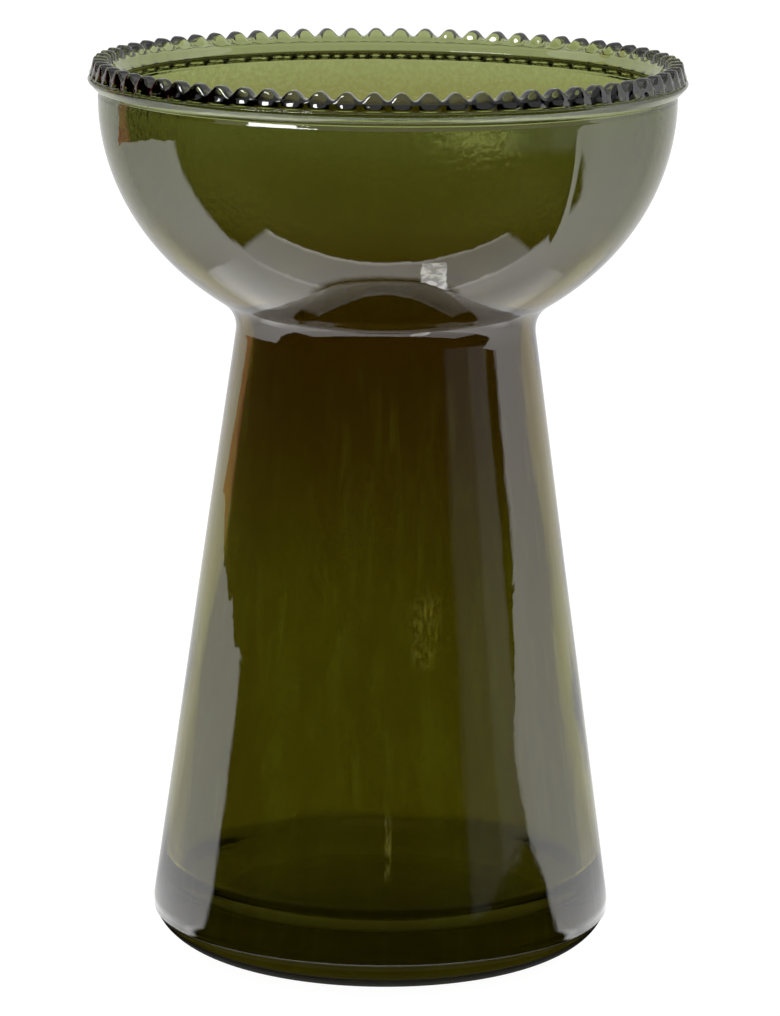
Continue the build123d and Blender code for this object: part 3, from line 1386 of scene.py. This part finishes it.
    def seen(self, wire: Wiring, light: bpy.types.Node) -> Socket:
        """Mask of what the camera sees, straight or through the glass."""
        return wire.most(light.outputs["Is Camera Ray"], light.outputs["Is Transmission Ray"])

    def world(self, glow: bpy.types.NodeTree) -> None:
        """Surroundings: white to the camera and through the glass, a studio where the glass mirrors it.

        Args:
            glow: The group with the studio's brightness.
        """
        world = bpy.data.worlds.new("studio")
        world.use_nodes = True
        world.node_tree.nodes.clear()
        bpy.context.scene.world = world
        wire = Wiring(world.node_tree)
        light = wire.node("LightPath")
        place = wire.node("TexCoord").outputs["Generated"]
        bright, back, sheen = self.glow_at(wire, glow, place)
        up = wire.parts(place)[2]
        walls = wire.times(bright, wire.rise(back, self.walls))
        ceiling = wire.times(wire.rise(up, self.ceiling_start), self.ceiling)
        mirrored = wire.most(walls, ceiling, sheen)
        other = wire.mix(light.outputs["Is Glossy Ray"], self.fill, mirrored)
        lit = wire.most(self.backdrop(wire, light, back), wire.rise(up, self.top_light))
        strength = wire.mix(self.seen(wire, light), other, lit)
        shade = wire.node("Background", Color=(1.0, 1.0, 1.0, 1.0), Strength=strength)
        wire.node("OutputWorld", Surface=shade.outputs[0])

    def backdrop(self, wire: Wiring, light: bpy.types.Node, back: Socket) -> Socket:
        """White for the camera, and through the glass as far as the backdrop reaches to the sides."""
        band = (self.backdrop_side, self.backdrop_side + self.backdrop_run)
        return wire.mix(light.outputs["Is Transmission Ray"], 1.0, wire.span(back, band, self.beside, 1.0))

    def strip(self, wire: Wiring, place: Socket, run: Socket) -> Socket:
        """Brightness of the grey strip of the table, where the glass mirrors it from below.

        Args:
            wire: The floor's tree.
            place: Place on the floor.
            run: Length of the ray that sees it.

        Returns:
            The socket, with a light line along the strip's front edge.
        """
        across, along, _ = wire.parts(place)
        aside = wire.math("ABSOLUTE", across)
        full = self.strip_edge + self.strip_soft
        strip = wire.times(
            wire.span(along, (self.strip_edge, full), 0.0, self.strip_glow),
            wire.fall(aside, (self.strip_side, self.strip_side + 0.01)),
        )
        line = wire.span(along, (full, full + self.strip_line), self.strip_line_glow, 1.0)
        steep = wire.fall(wire.node("LayerWeight").outputs["Facing"], self.strip_steep)
        near = wire.span(run, self.strip_runs, self.strip_near, 1.0)
        right = wire.span(across, self.strip_fade, 1.0, self.strip_right)
        return wire.times(strip, line, steep, near, right)

    def table(self, wire: Wiring, glow: bpy.types.NodeTree, place: Socket) -> Socket:
        """Brightness of the table where the glass mirrors it.

        Args:
            wire: The floor's tree.
            glow: The group with the studio's brightness.
            place: Place on the floor.

        Returns:
            The socket: the glow behind the table's edge with a light line along that edge, the grey strip
            in front of it, the shadow round the foot and the spot that the vase gathers.
        """
        across, along, _ = wire.parts(place)
        aside = wire.math("ABSOLUTE", across)
        run = wire.node("LightPath").outputs["Ray Length"]
        edge = wire.math("MULTIPLY_ADD", aside, self.table_turn, self.table_edge)
        edge = wire.math("ADD", edge, wire.ramp(across, 0.27, 1.27, 0.0, -0.3).outputs[0])
        soft = wire.math("MULTIPLY_ADD", aside, 0.04, 0.003)
        past = wire.math("DIVIDE", wire.math("SUBTRACT", along, edge), soft)
        bright, _, sheen = self.glow_at(wire, glow, place)
        bright = wire.times(bright, wire.rise(past, (0.0, 1.0)))
        line = wire.times(wire.within(past, (0.0, 1.0), (1.2, 2.4)), wire.fall(aside, (0.06, 0.16)))
        lit = wire.most(wire.math("ADD", bright, line), self.strip(wire, place, run))
        reach = wire.length(place)
        lit = wire.most(lit, wire.times(sheen, wire.rise(reach, (0.5, 0.7))))
        shade = wire.rise(reach, (self.foot_shadow - 0.006, self.foot_shadow + 0.006))
        beside = wire.span(reach, self.contact_end, self.contact, 0.0)
        return wire.most(wire.times(lit, shade), beside, Caustic().glow(wire, place, run))

    def floor_seen(
        self, wire: Wiring, light: bpy.types.Node, glow: bpy.types.NodeTree, place: Socket
    ) -> Socket:
        """Brightness of the floor as the camera sees it, straight or through the glass.

        Args:
            wire: The floor's tree.
            light: The tree's light path.
            glow: The group with the studio's brightness.
            place: Place on the floor.

        Returns:
            The socket: white, darker beside the backdrop and under the foot where the glass shows it.
        """
        reach, along = wire.length(place), wire.parts(place)[1]
        back = self.glow_at(wire, glow, place)[1]
        wide = self.backdrop(wire, light, wire.most(back, wire.span(reach, (0.08, 0.14), 1.0, -1.0)))
        dark = wire.span(along, (-0.015, 0.015), self.under_foot, self.behind_foot)
        dark = wire.most(dark, wire.rise(reach, self.foot_edge))
        return wire.times(wide, wire.mix(light.outputs["Is Transmission Ray"], 1.0, dark), self.white)

    def floor(self, glow: bpy.types.NodeTree) -> bpy.types.Object:
        """Pale floor that keeps the vase's shadow.

        Args:
            glow: The group with the studio's brightness.

        Returns:
            The floor, a wide square a hair below the foot.
        """
        mesh = bpy.data.meshes.new("floor")
        half, level = self.floor_half, -self.floor_gap * MM
        corners = [(-half, -half, level), (half, -half, level), (half, half, level), (-half, half, level)]
        mesh.from_pydata(corners, [], [(0, 1, 2, 3)])
        obj = bpy.data.objects.new("floor", mesh)
        bpy.context.scene.collection.objects.link(obj)
        made, wire = new_material("pale_floor")
        place = wire.node("TexCoord").outputs["Object"]
        light = wire.node("LightPath")
        seen = self.seen(wire, light)
        strength = wire.mix(seen, self.table(wire, glow, place), self.floor_seen(wire, light, glow, place))
        shine = wire.node("Emission", Color=(1.0, 1.0, 1.0, 1.0), Strength=strength)
        paint = wire.node("BsdfDiffuse", Color=(0.9, 0.9, 0.9, 1.0))
        share = wire.mix(seen, light.outputs["Is Glossy Ray"], self.floor_shine)
        mix = wire.node("MixShader", in0=share, in1=paint.outputs[0], in2=shine.outputs[0])
        wire.node("OutputMaterial", Surface=mix.outputs[0])
        mesh.materials.append(made)
        return obj

    def build(self) -> None:
        """Set up the surroundings, the floor, the lamp and the flag."""
        glow = self.glow_group()
        self.world(glow)
        self.floor(glow)
        Lamp().build()
        Flag().build()


@dataclass(frozen=True)
class PhotoCamera:
    """Camera at the photograph's place and angle.

    Attributes:
        distance: How far it stands in front of the axis, in millimetres.
        height: Height of its lens, in millimetres.
        pitch: How far it looks down, in radians.
        roll: How far it is turned round its line of sight, in radians.
        sensor: Width of its sensor, in millimetres.
    """

    distance: float = 1000.0
    height: float = 291.6
    pitch: float = 0.1993
    roll: float = 0.0094
    sensor: float = 36.0

    def build(self) -> bpy.types.Object:
        """Build the camera, and look through it.

        Returns:
            The camera's object.
        """
        data = bpy.data.cameras.new("camera")
        data.sensor_width = self.sensor
        data.lens = FOCAL_PX * self.sensor / PHOTO_HEIGHT_PX
        data.shift_x = (PHOTO_WIDTH_PX / 2 - OPTICAL_CENTRE_PX) / PHOTO_HEIGHT_PX
        data.clip_start, data.clip_end = 0.01, 50.0
        obj = bpy.data.objects.new("camera", data)
        turn = Matrix.Rotation(math.pi / 2 - self.pitch, 4, "X") @ Matrix.Rotation(self.roll, 4, "Z")
        obj.matrix_world = Matrix.Translation((0, -self.distance * MM, self.height * MM)) @ turn
        bpy.context.scene.collection.objects.link(obj)
        bpy.context.scene.camera = obj
        return obj


def main() -> None:
    """Build the vase, its glass, the studio and the camera, and report the vase's size."""
    logging.basicConfig(level=logging.INFO, format="%(message)s")
    vase = Vase().build()
    vase.data.materials.append(OliveGlass().material())
    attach(vase, "root")
    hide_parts(*(n.value for n in Node))
    triangles = len(vase.data.loops) - 2 * len(vase.data.polygons)
    LOG.info("vase glass: %d vertices, %d triangles", len(vase.data.vertices), triangles)
    Studio().build()
    PhotoCamera().build()
    bpy.context.scene.view_settings.view_transform = "Standard"


if __name__ == "__main__":
    main()
